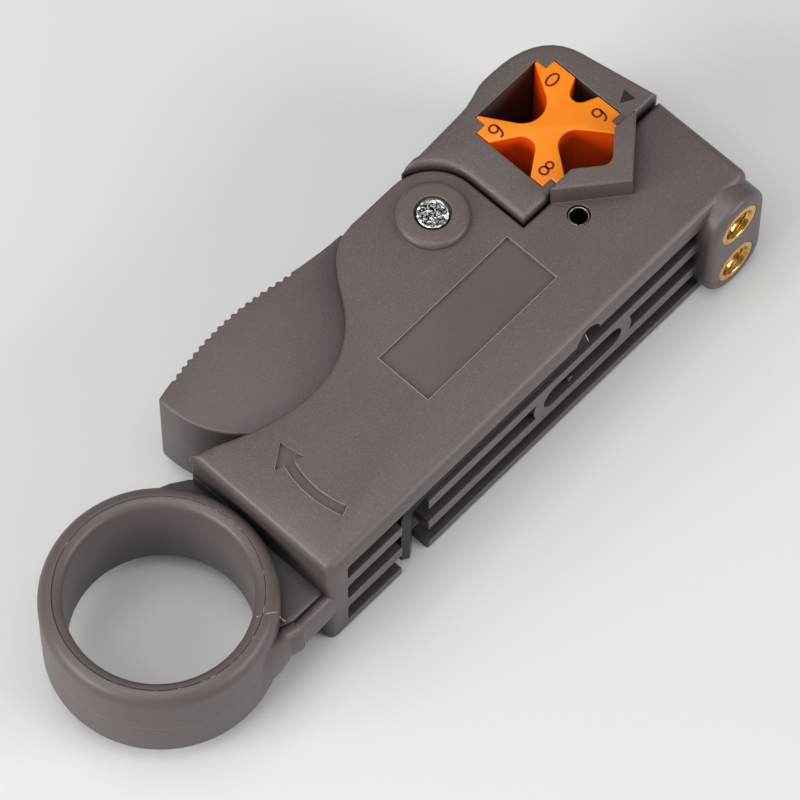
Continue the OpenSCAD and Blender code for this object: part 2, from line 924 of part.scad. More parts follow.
edge_y = jaw_apex + 0.5 + blade_out;

// A flat blade with a ground edge towards the cable
module blade(k) {
    y0 = arm_back + 0.4;
    color("#c9c9c8")
        seat(k)
            difference() {
                translate([cable_x - blade_w / 2, 0, z_blade[k]])
                    rotate([90, 0, 90])
                        linear_extrude(blade_w)
                            polygon([
                                [y0, -blade_t / 2],
                                [k == 0 ? edge_y - 1.3 : edge_y, -blade_t / 2],
                                [k == 0 ? edge_y : edge_y - 1.3, blade_t / 2],
                                [y0, blade_t / 2]
                            ]);
                translate([cable_x, arm_back + 1.7, z_blade[k] - 1])
                    cylinder(r = 1.05, h = 2, $fn = 32);
            }
}
module blade_upper() blade(0);
module blade_lower() blade(1);

module blade_screw(k) {
    up = k == 0 ? 1 : -1;
    color("#9a9894")
        seat(k)
            translate([cable_x, arm_back + 1.7, z_blade[k] - up * blade_t / 2])
                rotate([k == 0 ? 0 : 180, 0, 0])
                    difference() {
                        rotate_extrude($fn = 48)
                            polygon([
                                [0, -1.1],
                                [1.3, -1.1],
                                [1.65, -0.75],
                                [1.65, 0],
                                [1, 0],
                                [1, blade_t],
                                [0.85, blade_t],
                                [0.85, 3.4],
                                [0, 3.4]
                            ]);
                        translate([-2, -0.2, -1.6])
                            cube([4, 0.4, 0.9]);
                    }
}
module blade_screw_upper() blade_screw(0);
module blade_screw_lower() blade_screw(1);

// The stored hex key: long leg behind the lip, short leg down in the notch
module hex_key() {
    bend = [
        for (i = [0 : 8])
            let (a = 180 - 90 * i / 8)
            key_bend * [1 + cos(a), 0, sin(a) - 1]
    ];
    path = concat([[0, 0, -key_short]], bend, [[key_long, 0, 0]]);
    color("#2b2a29")
        translate([key_x, key_y, key_z])
            wire(path, key_af / sqrt(3), 6, [0, 1, 0]);
}

body_frame();
clamp_lever();
v_block();
pivot_pin();
roll_pin();
lever_spring();
brass_insert_upper();
brass_insert_lower();
set_screw_upper();
set_screw_lower();
blade_arm_upper();
blade_arm_lower();
blade_upper();
blade_lower();
blade_screw_upper();
blade_screw_lower();
hex_key();
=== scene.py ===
"""Looks of a rotary coaxial cable stripper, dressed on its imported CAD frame.

Lengths here are in millimetres of the row frame and turned into metres by mm().
"""

import math

import bmesh
import bpy
from mathutils import Matrix, Vector, noise


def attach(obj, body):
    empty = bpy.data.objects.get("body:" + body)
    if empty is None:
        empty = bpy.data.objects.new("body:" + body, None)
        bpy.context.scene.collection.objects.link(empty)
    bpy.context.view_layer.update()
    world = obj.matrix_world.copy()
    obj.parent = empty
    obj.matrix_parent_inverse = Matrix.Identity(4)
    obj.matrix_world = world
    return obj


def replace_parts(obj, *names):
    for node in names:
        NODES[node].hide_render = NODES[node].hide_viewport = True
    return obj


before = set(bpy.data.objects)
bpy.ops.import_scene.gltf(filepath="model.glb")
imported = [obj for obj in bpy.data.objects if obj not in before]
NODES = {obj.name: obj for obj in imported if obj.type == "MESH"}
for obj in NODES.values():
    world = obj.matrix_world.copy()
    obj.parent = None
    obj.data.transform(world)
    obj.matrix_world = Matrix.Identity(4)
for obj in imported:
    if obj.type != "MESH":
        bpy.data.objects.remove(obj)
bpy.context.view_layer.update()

MM = 0.001

# Places on the part, in millimetres
TOP = 21.0
HEAD_TOP = 22.0
BLOCK_TOP = 22.1
PIVOT = (6.45, 13.15)
ROLL = (19.75, -0.47)
RING = (-55.9, 2.4)
RING_IN, RING_OUT = 12.2, 15.45
RING_SEAM = 10.9
RING_TOP, RING_LOW = 18.7, 2.9
END = -39.9
SIDE, BACK = -12.4, 12.4
CORNER_R = 1.5
PAD_FACE = -15.0
SCREW_X = 35.3
SCREW_Z = (15.6, 5.6)
BLOCK = (26.7, 11.3)


def mm(*v):
    return Vector([x * MM for x in v])


# ---------------------------------------------------------------- materials


class Look:
    """A Principled material with short calls for its nodes."""

    def __init__(self, name, colour, rough, metal=0.0):
        self.material = bpy.data.materials.new(name)
        self.material.use_nodes = True
        self.tree = self.material.node_tree
        self.shader = self.tree.nodes["Principled BSDF"]
        self.set("Base Color", (*colour, 1))
        self.set("Roughness", rough)
        self.set("Metallic", metal)
        self.where = self.node("ShaderNodeTexCoord").outputs["Object"]

    def set(self, socket, value):
        self.shader.inputs[socket].default_value = value

    def node(self, kind, **values):
        n = self.tree.nodes.new(kind)
        for key, value in values.items():
            setattr(n, key, value)
        return n

    def feed(self, socket, value):
        if isinstance(value, bpy.types.NodeSocket):
            self.tree.links.new(value, socket)
        else:
            socket.default_value = value

    def math(self, kind, a, b=0.0, c=0.0, clamp=False):
        n = self.node("ShaderNodeMath", operation=kind, use_clamp=clamp)
        for i, v in enumerate((a, b, c)):
            self.feed(n.inputs[i], v)
        return n.outputs[0]

    def vector(self, kind, a, b=(0, 0, 0), out="Vector"):
        n = self.node("ShaderNodeVectorMath", operation=kind)
        self.feed(n.inputs[0], a)
        self.feed(n.inputs[1], b)
        return n.outputs[out]

    def noise(self, size, detail=2.0, rough=0.5, stretch=None, seed=0.0):
        """Noise with grains of about this size in millimetres, from 0 to 1."""
        place = self.where
        if stretch:
            place = self.vector("MULTIPLY", place, stretch)
        if seed:
            place = self.vector("ADD", place, (seed, seed * 0.7, seed * 1.3))
        n = self.node("ShaderNodeTexNoise")
        self.feed(n.inputs["Vector"], place)
        n.inputs["Scale"].default_value = 1 / (size * MM)
        n.inputs["Detail"].default_value = detail
        n.inputs["Roughness"].default_value = rough
        return n.outputs["Fac"]

    def span(self, value, a, b, c=0.0, d=1.0, smooth=False):
        n = self.node("ShaderNodeMapRange")
        if smooth:
            n.interpolation_type = "SMOOTHSTEP"
        for i, v in enumerate((value, a, b, c, d)):
            self.feed(n.inputs[i], v)
        return n.outputs[0]

    def mix(self, share, a, b):
        n = self.node("ShaderNodeMix", data_type="RGBA")
        self.feed(n.inputs["Factor"], share)
        self.feed(n.inputs[6], (*a, 1) if isinstance(a, tuple) and len(a) == 3 else a)
        self.feed(n.inputs[7], (*b, 1) if isinstance(b, tuple) and len(b) == 3 else b)
        return n.outputs[2]

    def soft_normal(self, radius):
        n = self.node("ShaderNodeBevel", samples=8)
        n.inputs["Radius"].default_value = radius * MM
        return n.outputs["Normal"]

    def edge(self, soft):
        """1 on a sharp edge, 0 on a flat face."""
        flat = self.node("ShaderNodeNewGeometry").outputs["True Normal"]
        return self.span(self.vector("DOT_PRODUCT", soft, flat, "Value"), 0.985, 0.8)

    def shade(self, tone, reach, floor):
        """Paints shade into a colour, darkening corners and pockets narrower than reach, in
        millimetres.
        """
        n = self.node("ShaderNodeAmbientOcclusion", samples=6)
        n.inputs["Distance"].default_value = reach * MM
        open_share = self.span(n.outputs["AO"], 0.15, 0.85, floor, 1.0)
        return self.mix(open_share, (0.004, 0.003, 0.003), tone)

    def bump(self, height, strength, depth, normal=None):
        n = self.node("ShaderNodeBump")
        n.inputs["Strength"].default_value = strength
        n.inputs["Distance"].default_value = depth * MM
        self.feed(n.inputs["Height"], height)
        if normal is not None:
            self.feed(n.inputs["Normal"], normal)
        return n.outputs["Normal"]

    def colour(self, value):
        self.feed(self.shader.inputs["Base Color"], value)

    def rough(self, value):
        self.feed(self.shader.inputs["Roughness"], value)

    def normal(self, value):
        self.feed(self.shader.inputs["Normal"], value)


def grey_plastic(name, base, grain=0.15, sparkle=0.5, smooth_below=20.7):
    """Moulded plastic with a spark-eroded grain on its top face, glossier edges, and painted
    light: edge highlights, glints of the grain and shade in corners.
    """
    k = Look(name, base, 0.42)
    k.set("Specular IOR Level", 0.5)
    fine = k.noise(grain, 1.5, 0.6)
    dots = k.noise(grain * 0.8, 1.0, 0.5, seed=11.3)
    mid = k.noise(1.1, 3.0, 0.5, seed=3.1)
    broad = k.noise(16.0, 2.0, 0.5, seed=7.7)
    soft = k.soft_normal(0.2)
    edge = k.edge(soft)
    # What lies below the top face, such as the label and the walls, is smoother
    at = k.node("ShaderNodeSeparateXYZ")
    k.feed(at.inputs[0], k.where)
    top = k.span(at.outputs[2], smooth_below * MM, (smooth_below + 0.1) * MM, 0.35, 1.0)
    low, high = (tuple(c * f for c in base) for f in (0.92, 1.08))
    tone = k.mix(k.span(broad, 0.3, 0.7), low, high)
    # Painted glints: bright specks on the grain of the top face
    painted_glint = k.math("MULTIPLY", k.span(dots, 0.56, 0.72, 0.0, 0.55), top)
    tone = k.mix(painted_glint, tone, tuple(c * 2.3 for c in base))
    dark = k.math("MULTIPLY", k.span(fine, 0.46, 0.26, 0.0, 0.40), top)
    tone = k.mix(dark, tone, tuple(c * 0.5 for c in base))
    tone = k.mix(k.span(mid, 0.4, 0.75, 0.0, 0.12), tone, tuple(c * 0.8 for c in base))
    # Painted highlight: edges lighter than the faces beside them
    edge_wear_and_highlight = tuple(min(1.0, c * 2.4 + 0.02) for c in base)
    tone = k.mix(k.math("MULTIPLY", edge, 0.6), tone, edge_wear_and_highlight)
    # Painted shade in corners and pockets
    k.colour(k.shade(tone, 11.0, 0.2))
    rough = k.span(fine, 0.25, 0.8, 0.34, 0.52)
    k.rough(k.math("SUBTRACT", rough, k.math("MULTIPLY", edge, 0.10)))
    waves = k.bump(mid, 0.2, 0.015, soft)
    k.normal(k.bump(k.math("MULTIPLY", fine, top), sparkle, 0.03, waves))
    return k.material


def orange_plastic(name):
    """Translucent orange plastic, with painted red on its walls for the light they throw to each
    other.
    """
    k = Look(name, (0.95, 0.26, 0.012), 0.38)
    k.set("Specular IOR Level", 0.4)
    k.set("Subsurface Weight", 0.25)
    k.set("Subsurface Radius", (2.0, 0.5, 0.1))
    k.set("Subsurface Scale", 0.5 * MM)
    soft = k.soft_normal(0.2)
    edge = k.edge(soft)
    broad = k.noise(5.0, 2.0, 0.5)
    fine = k.noise(0.3, 2.0, 0.55, seed=1.7)
    tone = k.mix(k.span(broad, 0.3, 0.7), (1.0, 0.285, 0.010), (0.98, 0.250, 0.008))
    tone = k.mix(k.span(fine, 0.45, 0.8, 0.0, 0.12), tone, (1.0, 0.36, 0.03))
    # Painted highlight: edges lighter than the faces beside them
    tone = k.mix(k.math("MULTIPLY", edge, 0.35), tone, (0.98, 0.38, 0.05))
    flat = k.node("ShaderNodeSeparateXYZ")
    k.feed(flat.inputs[0], k.node("ShaderNodeNewGeometry").outputs["True Normal"])
    # Painted bounce light: the steeper a face, the redder its colour
    wall = k.span(flat.outputs[2], 0.9, 0.3)
    tone = k.mix(wall, tone, (0.88, 0.075, 0.001))
    k.colour(tone)
    k.rough(k.span(fine, 0.3, 0.8, 0.3, 0.46))
    k.normal(k.bump(fine, 0.2, 0.012, soft))
    return k.material


def steel(name, base=(0.56, 0.55, 0.52), rough=0.3, grain=0.25, stretch=None, dirt=0.5):
    k = Look(name, base, rough, 1.0)
    soft = k.soft_normal(0.08)
    edge = k.edge(soft)
    fine = k.noise(grain, 3.0, 0.6, stretch)
    spots = k.noise(0.9, 3.0, 0.6, seed=5.3)
    tone = k.mix(k.span(fine, 0.3, 0.75), tuple(c * 0.62 for c in base), base)
    tone = k.mix(k.span(spots, 0.5, 0.75, 0.0, dirt), tone, tuple(c * 0.3 for c in base))
    # Painted highlight: edges lighter than the faces beside them
    tone = k.mix(k.math("MULTIPLY", edge, 0.6), tone, tuple(min(1.0, c * 1.4) for c in base))
    k.colour(tone)
    k.rough(k.span(fine, 0.3, 0.8, rough - 0.08, rough + 0.14))
    k.normal(k.bump(fine, 0.25, 0.015, soft))
    return k.material


def peened_steel(name):
    """The hammered end of the pivot pin, with painted reflections and shade: bright ridges over
    dark pits and a dark band round its edge.
    """
    k = Look(name, (0.72, 0.71, 0.68), 0.3, 1.0)
    coarse = k.noise(0.42, 2.0, 0.6, seed=2.2)
    fine = k.noise(0.16, 2.0, 0.6, seed=9.1)
    both = k.math("ADD", coarse, k.math("MULTIPLY", fine, 0.5))
    # Painted reflections and shade: bright ridges, dark pits
    painted_shade = k.span(both, 0.70, 0.80, 0.0, 1.0, smooth=True)
    at = k.node("ShaderNodeSeparateXYZ")
    k.feed(at.inputs[0], k.where)
    x = k.math("SUBTRACT", at.outputs[0], PIVOT[0] * MM)
    y = k.math("SUBTRACT", at.outputs[1], PIVOT[1] * MM)
    r = k.math("SQRT", k.math("ADD", k.math("MULTIPLY", x, x), k.math("MULTIPLY", y, y)))
    # Painted shade in the gap round the pin end
    rim = k.span(r, 1.80 * MM, 1.92 * MM)
    painted_shade = k.math("MAXIMUM", painted_shade, k.math("MULTIPLY", rim, 0.9))
    tone = k.mix(painted_shade, (0.022, 0.020, 0.018), (0.86, 0.85, 0.82))
    k.colour(tone)
    k.rough(k.span(fine, 0.3, 0.7, 0.16, 0.42))
    k.normal(k.bump(both, 0.9, 0.10))
    return k.material


def brass(name):
    k = Look(name, (0.83, 0.53, 0.18), 0.2, 1.0)
    soft = k.soft_normal(0.05)
    fine = k.noise(0.18, 3.0, 0.6, stretch=(1, 0.25, 1))
    stain = k.noise(1.4, 3.0, 0.55, seed=4.4)
    tone = k.mix(k.span(fine, 0.3, 0.75), (0.62, 0.32, 0.07), (0.90, 0.56, 0.19))
    tone = k.mix(k.span(stain, 0.5, 0.75, 0.0, 0.5), tone, (0.36, 0.15, 0.03))
    k.colour(tone)
    k.rough(k.span(stain, 0.3, 0.7, 0.14, 0.32))
    k.normal(k.bump(fine, 0.2, 0.012, soft))
    return k.material


def dark_plastic(name, base=(0.03, 0.029, 0.028)):
    k = Look(name, base, 0.4)
    soft = k.soft_normal(0.1)
    fine = k.noise(0.3, 2.0, 0.5)
    broad = k.noise(4.0, 2.0, 0.5, seed=2.0)
    low, high = (tuple(c * f for c in base) for f in (0.7, 1.4))
    tone = k.mix(k.span(broad, 0.3, 0.7), low, high)
    # Painted highlight: edges lighter than the faces beside them
    tone = k.mix(k.math("MULTIPLY", k.edge(soft), 0.4), tone, tuple(c * 2.6 for c in base))
    k.colour(tone)
    k.rough(k.span(fine, 0.3, 0.7, 0.34, 0.5))
    k.normal(k.bump(fine, 0.2, 0.015, soft))
    return k.material


def black_oxide(name):
    """Black hex key whose cut end faces are bright steel."""
    k = Look(name, (0.022, 0.021, 0.02), 0.34)
    k.set("Metallic", 0.6)
    soft = k.soft_normal(0.1)
    x = k.node("ShaderNodeSeparateXYZ")
    k.feed(x.inputs[0], k.where)
    fine = k.noise(0.35, 3.0, 0.6, stretch=(0.3, 1, 1))
    bare = k.math("GREATER_THAN", x.outputs[0], 9.22 * MM)
    # Edges lighter in patches: worn oxide and a painted edge highlight
    edge_wear_and_highlight = k.math("MULTIPLY", k.edge(soft), k.span(fine, 0.4, 0.7))
    tone = k.mix(k.span(fine, 0.3, 0.7), (0.012, 0.012, 0.012), (0.035, 0.033, 0.031))
    tone = k.mix(k.math("MULTIPLY", edge_wear_and_highlight, 0.5), tone, (0.20, 0.19, 0.18))
    tone = k.mix(bare, tone, (0.75, 0.74, 0.72))
    k.colour(tone)
    k.rough(k.span(fine, 0.3, 0.7, 0.26, 0.42))
    k.normal(k.bump(fine, 0.2, 0.015, soft))
    return k.material


def printed(name, base, rough=0.5):
    k = Look(name, base, rough)
    patchy = k.noise(0.35, 3.0, 0.6)
    k.colour(k.mix(k.span(patchy, 0.35, 0.75), base, tuple(min(1.0, c * 1.7) for c in base)))
    k.rough(k.span(patchy, 0.3, 0.7, rough - 0.08, rough + 0.1))
    k.normal(k.bump(patchy, 0.2, 0.01))
    return k.material


GREY = grey_plastic("grey_body_plastic", (0.116, 0.092, 0.085))
GREY_LEVER = grey_plastic(
    "grey_lever_plastic", (0.117, 0.094, 0.087), grain=0.17, smooth_below=18.3
)
# Pale beads for parting lines, and painted highlights along the label and arrow edges
SEAM_AND_HIGHLIGHT_GREY = grey_plastic("grey_seam_and_painted_highlight", (0.27, 0.232, 0.21), sparkle=0.2)
FLASH = grey_plastic("grey_flash_plastic", (0.34, 0.29, 0.235), sparkle=0.2)
# Painted shade: near-black steel for the inside of the rolled pin
BORE_SHADE = steel("pin_bore_painted_shade", (0.03, 0.03, 0.03), 0.5)
ORANGE = orange_plastic("orange_plastic")
PIN = steel("pin_steel", rough=0.3)
PEENED = peened_steel("peened_steel")
SPRING = steel("spring_wire", (0.36, 0.35, 0.33), 0.34, 0.2)
SCREW = steel("screw_steel", (0.62, 0.61, 0.60), 0.24, 0.2)
BLADE = steel("blade_steel", (0.6, 0.6, 0.6), 0.22, 0.3, stretch=(1, 0.15, 1), dirt=0.2)
BRASS = brass("insert_brass")
CARRIER = dark_plastic("carrier_plastic")
KEY = black_oxide("key_black")
INK = printed("digit_red", (0.11, 0.004, 0.002), 0.6)
POINTER = printed("pointer_dark", (0.012, 0.009, 0.009), 0.5)

LOOKS = {
    "body_frame": GREY,
    "clamp_lever": GREY_LEVER,
    "v_block": ORANGE,
    "pivot_pin": PIN,
    "roll_pin": PIN,
    "lever_spring": SPRING,
    "brass_insert_upper": BRASS,
    "brass_insert_lower": BRASS,
    "set_screw_upper": SCREW,
    "set_screw_lower": SCREW,
    "blade_arm_upper": CARRIER,
    "blade_arm_lower": CARRIER,
    "blade_upper": BLADE,
    "blade_lower": BLADE,
    "blade_screw_upper": SCREW,
    "blade_screw_lower": SCREW,
    "hex_key": KEY,
}


def smooth_group(angle):
    """Joins the faces of a CAD mesh and shades them smooth up to an angle, in degrees."""
    tree = bpy.data.node_groups.new("smooth_by_angle", "GeometryNodeTree")
    tree.interface.new_socket("Geometry", in_out="INPUT", socket_type="NodeSocketGeometry")
    tree.interface.new_socket("Geometry", in_out="OUTPUT", socket_type="NodeSocketGeometry")
    start = tree.nodes.new("NodeGroupInput")
    end = tree.nodes.new("NodeGroupOutput")
    join = tree.nodes.new("GeometryNodeMergeByDistance")
    join.inputs["Distance"].default_value = 2e-6
    faces = tree.nodes.new("GeometryNodeSetShadeSmooth")
    faces.domain = "FACE"
    edges = tree.nodes.new("GeometryNodeSetShadeSmooth")
    edges.domain = "EDGE"
    edges.inputs["Shade Smooth"].default_value = False
    bend = tree.nodes.new("GeometryNodeInputMeshEdgeAngle")
    sharp = tree.nodes.new("FunctionNodeCompare")
    sharp.operation = "GREATER_THAN"
    sharp.inputs[1].default_value = math.radians(angle)
    link = tree.links.new
    link(start.outputs[0], join.inputs["Geometry"])
    link(join.outputs[0], faces.inputs["Geometry"])
    link(faces.outputs[0], edges.inputs["Geometry"])
    link(bend.outputs["Unsigned Angle"], sharp.inputs[0])
    link(sharp.outputs[0], edges.inputs["Selection"])
    link(edges.outputs[0], end.inputs[0])
    return tree


SMOOTH = smooth_group(33)

for name, look in LOOKS.items():
    o = NODES[name]
    o.data.materials.clear()
    o.data.materials.append(look)
    old = o.data.attributes.get("custom_normal")
    if old is not None:
        o.data.attributes.remove(old)
    o.modifiers.new("smooth", "NODES").node_group = SMOOTH


# ---------------------------------------------------------------- pieces


def piece(name, points, faces, look, body, smooth=True):
    mesh = bpy.data.meshes.new(name)
    mesh.from_pydata([mm(*p) for p in points], [], faces)
    mesh.materials.append(look)
    b = bmesh.new()
    b.from_mesh(mesh)
    bmesh.ops.recalc_face_normals(b, faces=b.faces)
    b.to_mesh(mesh)
    b.free()
    for f in mesh.polygons:
        f.use_smooth = smooth
    if smooth:
        mesh.set_sharp_from_angle(angle=math.radians(40))
    o = bpy.data.objects.new(name, mesh)
    bpy.context.scene.collection.objects.link(o)
    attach(o, body)
    return o


def grid_faces(rings, n, closed=True):
    out = []
    for i in range(rings - 1):
        for j in range(n if closed else n - 1):
            k = (j + 1) % n
            out.append((i * n + j, i * n + k, (i + 1) * n + k, (i + 1) * n + j))
    return out


def bead(name, path, radius, look, body, closed=False, sides=6):
    """A thin round ridge along a path of points."""
    n = len(path)
    pts = []
    for i, p in enumerate(path):
        if closed:
            t = Vector(path[(i + 1) % n]) - Vector(path[i - 1])
        else:
            t = Vector(path[min(i + 1, n - 1)]) - Vector(path[max(i - 1, 0)])
        t.normalize()
        ref = Vector((0, 0, 1)) if abs(t.z) < 0.9 else Vector((1, 0, 0))
        a = t.cross(ref).normalized()
        c = a.cross(t).normalized()
        for s in range(sides):
            w = 2 * math.pi * s / sides
            pts.append(Vector(p) + radius * (a * math.cos(w) + c * math.sin(w)))
    faces = grid_faces(n, sides)
    if closed:
        last = (n - 1) * sides
        faces += [(last + s, last + (s + 1) % sides, (s + 1) % sides, s) for s in range(sides)]
    else:
        faces += [tuple(range(sides)), tuple((n - 1) * sides + s for s in range(sides))]
    return piece(name, pts, faces, look, body)


def oval(cx, cy, rx, ry, a0, a1, n=20):
    turn = [math.radians(a0 + (a1 - a0) * i / n) for i in range(n + 1)]
    return [(cx + rx * math.cos(w), cy + ry * math.sin(w)) for w in turn]


def arc(cx, cy, r, a0, a1, n):
    return oval(cx, cy, r, r, a0, a1, n)


def around(cx, cy, r, z, a0, a1, n):
    return [(x, y, z) for x, y in arc(cx, cy, r, a0, a1, n)]


def between(a, b, n=8):
    a, b = Vector(a), Vector(b)
    return [a + (b - a) * i / n for i in range(n + 1)]


def bezier(p, n):
    out = []
    for i in range(n + 1):
        t = i / n
        w = ((1 - t) ** 3, 3 * t * (1 - t) ** 2, 3 * t * t * (1 - t), t**3)
        out.append((sum(w[k] * p[k][0] for k in range(4)), sum(w[k] * p[k][1] for k in range(4))))
    return out


def on_ring(r, deg):
    return (RING[0] + r * math.cos(math.radians(deg)), RING[1] + r * math.sin(math.radians(deg)))


def soft_plate(name, outline, z0, z1, low, top, look, body, slot, relief=None, steps=5):
    """An extruded outline with rounded edges.

    The relief sinks single points of the outline before the edges are rounded.
    """
    n = len(outline)
    inward = []
    for i in range(n):
        q, c, d = (Vector(outline[j % n]) for j in (i - 1, i, i + 1))
        e0, e1 = (c - q).normalized(), (d - c).normalized()
        n0, n1 = Vector((-e0.y, e0.x)), Vector((-e1.y, e1.x))
        m = (n0 + n1).normalized()
        inward.append(m / max(0.5, m.dot(n0)))
    levels = []
    for i in range(steps + 1):
        t = math.pi / 2 * i / steps
        levels.append((low * (1 - math.sin(t)), z0 + low * (1 - math.cos(t))))
    for i in range(steps, -1, -1):
        t = math.pi / 2 * i / steps
        levels.append((top * (1 - math.sin(t)), z1 - top * (1 - math.cos(t))))
    pts = []
    for inset, z in levels:
        for i, q in enumerate(outline):
            v = Vector(q) + inward[i] * (inset + (relief[i] if relief else 0.0))
            pts.append((v.x, v.y, z))
    rings = len(levels)
    faces = grid_faces(rings, n) + [tuple(range(n)), tuple((rings - 1) * n + i for i in range(n))]
    return piece(name, pts, faces, look, body)


def loft(name, sections, look, body):
    """A skin over closed sections of equal length, with flat ends."""
    n = len(sections[0])
    pts = [q for ring in sections for q in ring]
    last = (len(sections) - 1) * n
    faces = grid_faces(len(sections), n) + [tuple(range(n)), tuple(last + i for i in range(n))]
    return piece(name, pts, faces, look, body)


# The two plan corners of the top: x, y and the way each points
CORNERS = ((END, SIDE, -1, -1), (-END, SIDE, 1, -1))
POLE_REACH = 0.00025
BALL_REACH = (0.0005, 0.0022)


def body_shell():
    """The moulded body without its ring, with ball corners on its top edge."""
    b = bmesh.new()
    b.from_mesh(NODES["body_frame"].data)
    bmesh.ops.remove_doubles(b, verts=b.verts, dist=2e-6)
    every = list(b.verts) + list(b.edges) + list(b.faces)
    cut = mm(END - 0.03, 0, 0)
    bmesh.ops.bisect_plane(b, geom=every, plane_co=cut, plane_no=(1, 0, 0), clear_inner=True)
    bmesh.ops.holes_fill(b, edges=[e for e in b.edges if e.is_boundary], sides=0)
    for x, y, sx, sy in CORNERS:
        cx, cy = x - sx * CORNER_R, y - sy * CORNER_R
        centre = mm(cx, cy, TOP - CORNER_R)
        pole = mm(cx, cy, TOP)
        near = [v for v in b.verts if (v.co - pole).length < POLE_REACH]
        bmesh.ops.pointmerge(b, verts=near, merge_co=pole)
        for v in b.verts:
            d = v.co - centre
            outside = d.x * sx > 0 and d.y * sy > 0 and d.z > 0.00002
            if outside and BALL_REACH[0] < d.length < BALL_REACH[1]:
                v.co = centre + d.normalized() * CORNER_R * MM
    bmesh.ops.dissolve_degenerate(b, dist=1e-6, edges=b.edges)
    mesh = bpy.data.meshes.new("body_shell")
    b.to_mesh(mesh)
    b.free()
    mesh.materials.append(GREY)
    o = bpy.data.objects.new("body_shell", mesh)
    bpy.context.scene.collection.objects.link(o)
    o.modifiers.new("smooth", "NODES").node_group = SMOOTH
    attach(o, "body")
    return o


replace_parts(body_shell(), "body_frame")


# The soft rims of the ring, and the step between them
RIM_OUT, RIM_IN, STEP_DROP = 1.9, 1.25, 0.12
STEP_IN, STEP_OUT = RING_IN + 1.36, RING_IN + 1.42


def finger_ring():
    """The turned ring: soft outer rim, a small step and a soft inner rim, above and below."""
    half = (RING_TOP - RING_LOW) / 2
    mid = RING_TOP - half
    up = arc(RING_OUT - RIM_OUT, half - RIM_OUT, RIM_OUT, 0, 90, 12)
    up += [(STEP_OUT, half), (RING_IN + 1.38, half - 0.03), (STEP_IN, half - STEP_DROP)]
    up += arc(RING_IN + RIM_IN, half - STEP_DROP - RIM_IN, RIM_IN, 90, 180, 10)
    profile = up + [(r, -z) for r, z in reversed(up)]
    n = 180
    pts = []
    for r, z in profile:
        for j in range(n):
            w = 2 * math.pi * j / n
            pts.append((RING[0] + r * math.cos(w), RING[1] + r * math.sin(w), mid + z))
    faces = grid_faces(len(profile), n)
    last = (len(profile) - 1) * n
    faces += [(last + j, last + (j + 1) % n, (j + 1) % n, j) for j in range(n)]
    return piece("finger_ring", pts, faces, GREY, "body")


finger_ring()

# The web between body and ring, and the bar along its rib side
WEB = (
    [(END + 1, SIDE + 1.5), (END + 1, BACK - 0.4), (END + 0.2, BACK + 0.4), (END - 2, BACK + 1.9)]
    + [(END - 4.4, BACK + 2.9), on_ring(RING_OUT + 0.1, 64)]
    + arc(*RING, RING_OUT - 1, 60, -60, 24)
    + [(END - 5.6, SIDE + 1.5)]
)
soft_plate("neck_web", WEB, 6.6, 13.0, 0.6, 0.6, GREY, "body", "grey_body")


BAR_Y = SIDE + 0.8
COLLAR_X = END - 5.4


def neck_bar():
    """A bar of changing oval section; each station holds x, y, z, half width and half height."""
    stations = [
        (END + 0.6, BAR_Y + 0.1, 9.8, 1.1, 2.9),
        (END - 0.4, BAR_Y + 0.02, 9.8, 1.13, 2.97),
        (END - 1.6, BAR_Y, 9.8, 1.15, 3.0),
        (END - 5.2, BAR_Y, 9.8, 1.15, 3.0),
        (END - 5.32, BAR_Y, 9.8, 1.22, 3.08),
        (COLLAR_X, BAR_Y, 9.8, 1.42, 3.32),
        (END - 5.55, BAR_Y - 0.02, 9.82, 1.46, 3.36),
        (*on_ring(RING_OUT + 0.55, -57.5), 9.95, 1.5, 3.5),
        (*on_ring(RING_OUT + 0.3, -61.5), 10.1, 1.55, 3.75),
        (*on_ring(RING_OUT - 0.15, -66.5), 10.3, 1.6, 4.2),
        (*on_ring(RING_OUT - 0.75, -71.7), 10.5, 1.65, 4.8),
        (*on_ring(RING_OUT - 1.5, -77.5), 10.7, 1.5, 5.3),
    ]
    sides, square = 28, 0.85
    sections = []
    for i, (x, y, z, w, h) in enumerate(stations):
        a, c = stations[max(i - 1, 0)], stations[min(i + 1, len(stations) - 1)]
        d = Vector((c[0] - a[0], c[1] - a[1])).normalized()
        side = Vector((d.y, -d.x))
        ring = []
        for k in range(sides):
            t = 2 * math.pi * k / sides
            u, v = (math.copysign(abs(q) ** square, q) for q in (math.cos(t), math.sin(t)))
            ring.append((x + side.x * w * u, y + side.y * w * u, z + h * v))
        sections.append(ring)
    return loft("neck_bar", sections, GREY, "body")


neck_bar()


# The grip of the lever, over the plain solid: its thumb side, its end and its grooves
GRIP_OUT = [(-2.55, 21.1), (-15.55, 21.45), (-17.55, 25.75), (-35.9, 21.65)]
GRIP_END = [(-36.3, 21.05), (-36.5, 16.45), (-34.9, 12.15), (-31.3, 9.15)]

GRIP_IN = [(-26.0, 5.4), (-14.5, 6.3), (-4.0, 12.0)]
GRIP_Z = (2.45, 18.55)
GROOVES, GROOVE_PITCH, GROOVE_R, GROOVE_LIFT = 18, 1.25, 0.44, 0.12
GROOVE_START, GROOVE_LEAD = 0.19, 2.6


